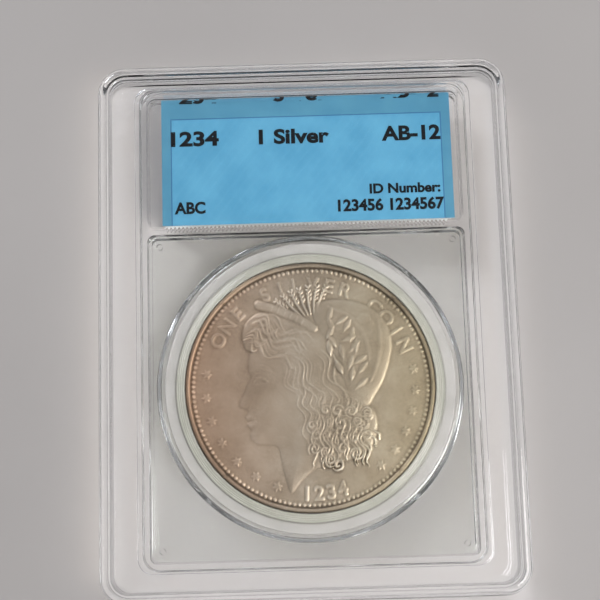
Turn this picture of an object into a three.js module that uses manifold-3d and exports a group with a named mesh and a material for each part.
// Graded coin slab: a sealed clear display case that holds one large silver coin and its paper label.
//
// Units are millimetres. The slab lies on its back on a table: +Z points out of its face, +Y points
// to the label edge and +X to the reader's right. The origin is under the middle of the slab, on the
// table. Two clear polystyrene shells are welded together round the edge. Between them sit a clear
// coin core in two halves, with a soft ring that grips the coin, and a folded paper label.

import * as THREE from "three";
import { mergeVertices } from "three/addons/utils/BufferGeometryUtils.js";
import Module from "manifold-3d";

const wasm = await Module();
wasm.setup();

// ---------------------------------------------------------------- driving dimensions

const COIN = { diameter: 38.1, thickness: 2.4, rimWidth: 1.1, rimHeight: 0.22, reeds: 90, reedDepth: 0.12 };
const SLAB = { width: 64, height: 82.5, thickness: 8, cornerRadius: 4.3, edgeRound: 1.2 };
const RIM = { side: 5.9, bottom: 4.6, top: 3.8, rise: 0.5, cornerRadius: 2.2 };
const WALL = { side: 1.6, plate: 1.2 };
const SEAM = { gap: 0.1, tongueWidth: 0.5, tongueHeight: 0.8, clearance: 0.1 };
const CORE = { width: 48.4, below: 25.5, above: 23.7, cornerRadius: 1.2, clearance: 0.1 };
const PIN = { diameter: 0.8, height: 0.8, inset: 1.5, clearance: 0.1 };
const NEST = { gap: 0.3, thickness: 1.0 };
const LABEL = {
  width: 45.2,
  bottom: 25.3,
  top: 45.7,
  right: 0.5,
  paper: 0.25,
  foldRadius: 0.6,
  clearance: 0.1,
};
const DIVIDER = { bottom: 23.9, top: 25.1, toothPitch: 1.25, toothDepth: 0.35 };
const RING = { collarDiameter: 41, flangeDiameter: 44.4, flangeThickness: 1.4, fit: 0.1 };
const POCKET = { diameter: 46.8, ceilingDiameter: 44.5, headroom: 0.1 };
const FOIL = { width: 20, height: 9, thickness: 0.1, clearance: 0.1 };

// Heights above the table.
const MIDDLE = SLAB.thickness / 2;
const WINDOW_TOP = SLAB.thickness - RIM.rise;
const CEILING = WINDOW_TOP - WALL.plate;
const FLOOR = RIM.rise + WALL.plate;
const CORE_TOP = CEILING - CORE.clearance;
const CORE_BOTTOM = FLOOR + CORE.clearance;
const POCKET_CEILING = MIDDLE + COIN.thickness / 2 + POCKET.headroom;

// Everything inside is laid out from the coin's centre, which sits towards the lower end.
const COIN_FROM_BOTTOM = 31.7;
const COIN_Y = COIN_FROM_BOTTOM - SLAB.height / 2;
const NEST_BOX = {
  side: CORE.width / 2 + NEST.gap,
  bottom: COIN_Y - CORE.below - NEST.gap,
  top: COIN_Y + LABEL.top + NEST.gap * 2,
  cornerRadius: CORE.cornerRadius + NEST.gap,
};

const ARC_STEPS = 6;
const ROUND_STEPS = 96;
const OVERRUN = 1;
const ROOT = 0.3;

// ---------------------------------------------------------------- solids

// A geometry as a manifold solid: only the shared corner points are kept.
function solidFrom(geometry) {
  const bare = geometry.clone();
  bare.deleteAttribute("normal");
  bare.deleteAttribute("uv");
  const merged = mergeVertices(bare, 1e-4);
  const vertProperties = new Float32Array(merged.attributes.position.array);
  const triVerts = new Uint32Array(merged.index.array);
  return new wasm.Manifold(new wasm.Mesh({ numProp: 3, vertProperties, triVerts }));
}

// A manifold solid as a flat-shaded geometry.
function geometryFrom(solid) {
  const mesh = solid.getMesh();
  const geometry = new THREE.BufferGeometry();
  geometry.setAttribute("position", new THREE.BufferAttribute(mesh.vertProperties, mesh.numProp));
  geometry.setIndex(new THREE.BufferAttribute(mesh.triVerts, 1));
  const flat = geometry.toNonIndexed();
  flat.computeVertexNormals();
  return flat;
}

// A rectangle with round corners, given by its four edges.
function roundedRectangle({ left, right, bottom, top, radius }) {
  const shape = new THREE.Shape();
  const corners = [
    [right - radius, bottom + radius, -Math.PI / 2],
    [right - radius, top - radius, 0],
    [left + radius, top - radius, Math.PI / 2],
    [left + radius, bottom + radius, Math.PI],
  ];
  shape.moveTo(left + radius, bottom);
  for (const [x, y, start] of corners) {
    shape.absarc(x, y, radius, start, start + Math.PI / 2, false);
  }
  return shape;
}

// A flat outline raised from one height to another.
function slabOf(outline, low, high) {
  const options = { depth: high - low, bevelEnabled: false, curveSegments: ARC_STEPS };
  return solidFrom(new THREE.ExtrudeGeometry(outline, options).translate(0, 0, low));
}

// A rectangular block between two corners.
function block(low, high) {
  const size = high.map((value, axis) => value - low[axis]);
  const centre = high.map((value, axis) => (value + low[axis]) / 2);
  return solidFrom(new THREE.BoxGeometry(...size).translate(...centre));
}

// A profile of [radius, height] points, which starts and ends on the axis or closes on itself,
// turned about a vertical axis through the coin's centre.
function turned(profile) {
  const points = profile.map(([radius, height]) => new THREE.Vector2(radius, height));
  const geometry = new THREE.LatheGeometry(points, ROUND_STEPS);
  return solidFrom(geometry.rotateX(Math.PI / 2).translate(0, COIN_Y, 0));
}

// The same solid turned over about the slab's middle plane.
function turnedOver(solid) {
  return solid.mirror([0, 0, 1]).translate([0, 0, SLAB.thickness]);
}

// ---------------------------------------------------------------- outlines

const centredOutline = (inset, radius) =>
  roundedRectangle({
    left: inset - SLAB.width / 2,
    right: SLAB.width / 2 - inset,
    bottom: inset - SLAB.height / 2,
    top: SLAB.height / 2 - inset,
    radius,
  });

const recessOutline = () =>
  roundedRectangle({
    left: RIM.side - SLAB.width / 2,
    right: SLAB.width / 2 - RIM.side,
    bottom: RIM.bottom - SLAB.height / 2,
    top: SLAB.height / 2 - RIM.top,
    radius: RIM.cornerRadius,
  });

const nestOutline = (grow) =>
  roundedRectangle({
    left: -NEST_BOX.side - grow,
    right: NEST_BOX.side + grow,
    bottom: NEST_BOX.bottom - grow,
    top: NEST_BOX.top + grow,
    radius: NEST_BOX.cornerRadius + grow,
  });

const coreOutline = (inset) =>
  roundedRectangle({
    left: inset - CORE.width / 2,
    right: CORE.width / 2 - inset,
    bottom: COIN_Y - CORE.below + inset,
    top: COIN_Y + CORE.above - inset,
    radius: CORE.cornerRadius,
  });

// ---------------------------------------------------------------- shells

// The closed case as one block, with its long edges rounded.
function caseBlock() {
  const options = {
    depth: SLAB.thickness - 2 * SLAB.edgeRound,
    bevelEnabled: true,
    bevelThickness: SLAB.edgeRound,
    bevelSize: SLAB.edgeRound,
    bevelOffset: -SLAB.edgeRound,
    bevelSegments: 4,
    curveSegments: ARC_STEPS,
  };
  const geometry = new THREE.ExtrudeGeometry(centredOutline(0, SLAB.cornerRadius), options);
  return solidFrom(geometry.translate(0, 0, SLAB.edgeRound));
}

// A band that runs round inside the side wall, used for the tongue and for its groove.
function seamBand(width, low, high) {
  const inset = (WALL.side - width) / 2;
  const outer = slabOf(centredOutline(inset, SLAB.cornerRadius - inset), low, high);
  const innerInset = inset + width;
  const innerOutline = centredOutline(innerInset, SLAB.cornerRadius - innerInset);
  return outer.subtract(slabOf(innerOutline, low - OVERRUN, high + OVERRUN));
}

// The rib that divides the coin's nest from the label's pocket. Its face towards the label carries
// a row of fine teeth that grip the edge of the paper.
function dividerRib(low, high) {
  const bottom = COIN_Y + DIVIDER.bottom;
  const top = COIN_Y + DIVIDER.top;
  const toothRow = 2 * (NEST_BOX.side - NEST.gap);
  const count = Math.floor(toothRow / DIVIDER.toothPitch);
  const outline = new THREE.Shape();
  outline.moveTo(-NEST_BOX.side - ROOT, bottom);
  outline.lineTo(NEST_BOX.side + ROOT, bottom);
  outline.lineTo(NEST_BOX.side + ROOT, top - DIVIDER.toothDepth);
  for (let tooth = count; tooth > 0; tooth--) {
    const right = (tooth - count / 2) * DIVIDER.toothPitch;
    outline.lineTo(right, top - DIVIDER.toothDepth);
    outline.lineTo(right - DIVIDER.toothPitch / 2, top);
  }
  outline.lineTo((-count / 2) * DIVIDER.toothPitch, top - DIVIDER.toothDepth);
  outline.lineTo(-NEST_BOX.side - ROOT, top - DIVIDER.toothDepth);
  outline.closePath();
  return slabOf(outline, low, high);
}

// One shell as the front one lies: a window plate inside a raised rim, a side wall, the nest rib
// round the core and label, and the divider rib.
function plainShell() {
  const foot = MIDDLE + SEAM.gap / 2;
  const half = caseBlock().intersect(
    block([-SLAB.width, -SLAB.height, foot], [SLAB.width, SLAB.height, SLAB.thickness + OVERRUN]),
  );
  const recess = slabOf(recessOutline(), WINDOW_TOP, SLAB.thickness + OVERRUN);
  const hollow = slabOf(centredOutline(WALL.side, SLAB.cornerRadius - WALL.side), foot - OVERRUN, CEILING);
  const nestRib = slabOf(nestOutline(NEST.thickness), foot, CEILING + ROOT).subtract(
    slabOf(nestOutline(0), foot - OVERRUN, CEILING + ROOT + OVERRUN),
  );
  return half.subtract(recess).subtract(hollow).add(nestRib).add(dividerRib(foot, CEILING + ROOT));
}

// The front shell has the groove of the weld seam.
function frontShell() {
  const width = SEAM.tongueWidth + 2 * SEAM.clearance;
  const depth = MIDDLE + SEAM.tongueHeight + SEAM.clearance;
  return plainShell().subtract(seamBand(width, MIDDLE - OVERRUN, depth));
}

// The rear shell is the same moulding turned over, with the tongue instead of the groove.
function rearShell() {
  const low = MIDDLE - SEAM.gap / 2 - ROOT;
  return turnedOver(plainShell()).add(seamBand(SEAM.tongueWidth, low, MIDDLE + SEAM.tongueHeight));
}

// ---------------------------------------------------------------- coin core

// Half of the round pocket for the ring and the coin. Its wall is a quarter ellipse, which bulges
// out from the flat ceiling to the parting plane.
function pocketHalf() {
  const ceilingRadius = POCKET.ceilingDiameter / 2;
  const reach = (POCKET.diameter - POCKET.ceilingDiameter) / 2;
  const drop = POCKET_CEILING - MIDDLE;
  const profile = [
    [0, MIDDLE - OVERRUN],
    [ceilingRadius + reach, MIDDLE - OVERRUN],
  ];
  for (let step = 0; step <= ARC_STEPS; step++) {
    const angle = (step / ARC_STEPS) * (Math.PI / 2);
    profile.push([ceilingRadius + reach * Math.cos(angle), MIDDLE + drop * Math.sin(angle)]);
  }
  profile.push([0, POCKET_CEILING]);
  return turned(profile);
}

// One plain core half, as the front one lies.
function plainCore() {
  return slabOf(coreOutline(0), MIDDLE + SEAM.gap / 2, CORE_TOP).subtract(pocketHalf());
}

// A round post at each corner of the core, where the two halves locate on each other.
function cornerPosts(diameter, low, high) {
  const side = CORE.width / 2 - PIN.inset;
  const ends = [COIN_Y - CORE.below + PIN.inset, COIN_Y + CORE.above - PIN.inset];
  const posts = [-side, side].flatMap((x) =>
    ends.map((y) => slabOf(new THREE.Shape().absarc(x, y, diameter / 2, 0, 2 * Math.PI), low, high)),
  );
  return posts.reduce((all, one) => all.add(one));
}

// The front half has a blind hole at each corner, and the rear half a pin that stands in it.
function coreFront() {
  const depth = MIDDLE + PIN.height + PIN.clearance;
  return plainCore().subtract(cornerPosts(PIN.diameter + 2 * PIN.clearance, MIDDLE - OVERRUN, depth));
}

function coreRear() {
  const low = MIDDLE - SEAM.gap / 2 - ROOT;
  return turnedOver(plainCore()).add(cornerPosts(PIN.diameter, low, MIDDLE + PIN.height));
}

// ---------------------------------------------------------------- ring and coin

// The soft clear ring: a collar that grips the coin all round its edge, with a thinner flange
// round it that centres the coin in the pocket.
function coinRing() {
  const inner = COIN.diameter / 2 + RING.fit;
  const collar = RING.collarDiameter / 2;
  const flange = RING.flangeDiameter / 2;
  const collarHalf = COIN.thickness / 2;
  const flangeHalf = RING.flangeThickness / 2;
  const section = [
    [inner, -collarHalf],
    [collar, -collarHalf],
    [collar, -flangeHalf],
    [flange, -flangeHalf],
    [flange, flangeHalf],
    [collar, flangeHalf],
    [collar, collarHalf],
    [inner, collarHalf],
    [inner, -collarHalf],
  ];
  return turned(section.map(([radius, height]) => [radius, MIDDLE + height]));
}

// The struck blank: two flat fields inside raised rims.
function coinBlank() {
  const radius = COIN.diameter / 2;
  const inner = radius - COIN.rimWidth;
  const bottom = MIDDLE - COIN.thickness / 2;
  const top = MIDDLE + COIN.thickness / 2;
  return turned([
    [0, bottom + COIN.rimHeight],
    [inner, bottom + COIN.rimHeight],
    [inner + COIN.rimHeight, bottom],
    [radius, bottom],
    [radius, top],
    [inner + COIN.rimHeight, top],
    [inner, top - COIN.rimHeight],
    [0, top - COIN.rimHeight],
  ]);
}

// The reeded edge: one star-shaped outline, which leaves a groove between each two reeds.
function reededOutline() {
  const outline = new THREE.Shape();
  const radius = COIN.diameter / 2;
  for (let step = 0; step < 2 * COIN.reeds; step++) {
    const reach = radius - (step % 2) * COIN.reedDepth;
    const angle = (step / COIN.reeds) * Math.PI;
    const x = reach * Math.cos(angle);
    const y = COIN_Y + reach * Math.sin(angle);
    if (step === 0) outline.moveTo(x, y);
    else outline.lineTo(x, y);
  }
  outline.closePath();
  return outline;
}

// A plain head in low relief, facing left: a round skull, a neck and a gathered knot of hair.
function headRelief() {
  const field = MIDDLE + COIN.thickness / 2 - COIN.rimHeight;
  const top = field + COIN.rimHeight * 0.8;
  const pieces = [
    { x: 1.5, y: 1.5, across: 9.5, along: 10.5 },
    { x: 5.5, y: -2.5, across: 5.5, along: 7 },
    { x: 2, y: -9, across: 4, along: 5 },
  ];
  const solids = pieces.map(({ x, y, across, along }) => {
    const outline = new THREE.Shape().absellipse(x, COIN_Y + y, across, along, 0, 2 * Math.PI);
    return slabOf(outline, field - ROOT, top);
  });
  return solids.reduce((all, one) => all.add(one));
}

function coin() {
  const reeded = slabOf(reededOutline(), MIDDLE - COIN.thickness, MIDDLE + COIN.thickness);
  return coinBlank().intersect(reeded).add(headRelief());
}

// ---------------------------------------------------------------- label and foil

// One paper sheet folded into a U: the front panel, the strip over the top edge and the rear panel.
// It has slid a little to the right in its nest.
function label() {
  const front = CEILING - LABEL.clearance;
  const back = FLOOR + 2 * FOIL.clearance + FOIL.thickness;
  const bottom = COIN_Y + LABEL.bottom;
  const top = COIN_Y + LABEL.top;
  const outline = new THREE.Shape();
  const inset = LABEL.paper;
  const outer = LABEL.foldRadius;
  const inner = LABEL.foldRadius - LABEL.paper;
  outline.moveTo(bottom, back);
  outline.lineTo(top - outer, back);
  outline.absarc(top - outer, back + outer, outer, -Math.PI / 2, 0, false);
  outline.lineTo(top, front - outer);
  outline.absarc(top - outer, front - outer, outer, 0, Math.PI / 2, false);
  outline.lineTo(bottom, front);
  outline.lineTo(bottom, front - inset);
  outline.lineTo(top - outer, front - inset);
  outline.absarc(top - outer, front - outer, inner, Math.PI / 2, 0, true);
  outline.lineTo(top - inset, back + outer);
  outline.absarc(top - outer, back + outer, inner, 0, -Math.PI / 2, true);
  outline.lineTo(bottom, back + inset);
  outline.closePath();
  const options = { depth: LABEL.width, bevelEnabled: false, curveSegments: ARC_STEPS };
  const sheet = new THREE.ExtrudeGeometry(outline, options);
  // The outline is drawn across the fold, so the sheet is stood up to run along X.
  const axes = new THREE.Matrix4().makeBasis(
    new THREE.Vector3(0, 1, 0),
    new THREE.Vector3(0, 0, 1),
    new THREE.Vector3(1, 0, 0),
  );
  return solidFrom(sheet.applyMatrix4(axes).translate(LABEL.right - LABEL.width / 2, 0, 0));
}

// The security foil behind the label, seen through the rear window.
function securityFoil() {
  const middle = COIN_Y + (LABEL.bottom + LABEL.top) / 2;
  const low = FLOOR + FOIL.clearance;
  return block(
    [-FOIL.width / 2, middle - FOIL.height / 2, low],
    [FOIL.width / 2, middle + FOIL.height / 2, low + FOIL.thickness],
  );
}

// ---------------------------------------------------------------- assembly

const clearPlastic = { color: 0xe4e6e8, roughness: 0.05, metalness: 0, transparent: true, opacity: 0.3 };
const softClear = { color: 0xc9cfc0, roughness: 0.25, metalness: 0, transparent: true, opacity: 0.5 };
const silver = { color: 0xa99b87, roughness: 0.3, metalness: 1 };
const bluePaper = { color: 0x5aa5cc, roughness: 0.6, metalness: 0 };
const foil = { color: 0xc8ccd2, roughness: 0.2, metalness: 1 };

const group = new THREE.Group();

function addPiece(name, solid, finish) {
  const mesh = new THREE.Mesh(geometryFrom(solid), new THREE.MeshStandardMaterial(finish));
  mesh.name = name;
  group.add(mesh);
}

addPiece("front_shell", frontShell(), clearPlastic);
addPiece("rear_shell", rearShell(), clearPlastic);
addPiece("core_front", coreFront(), clearPlastic);
addPiece("core_rear", coreRear(), clearPlastic);
addPiece("coin_ring", coinRing(), softClear);
addPiece("coin", coin(), silver);
addPiece("label", label(), bluePaper);
addPiece("security_foil", securityFoil(), foil);

export default group;
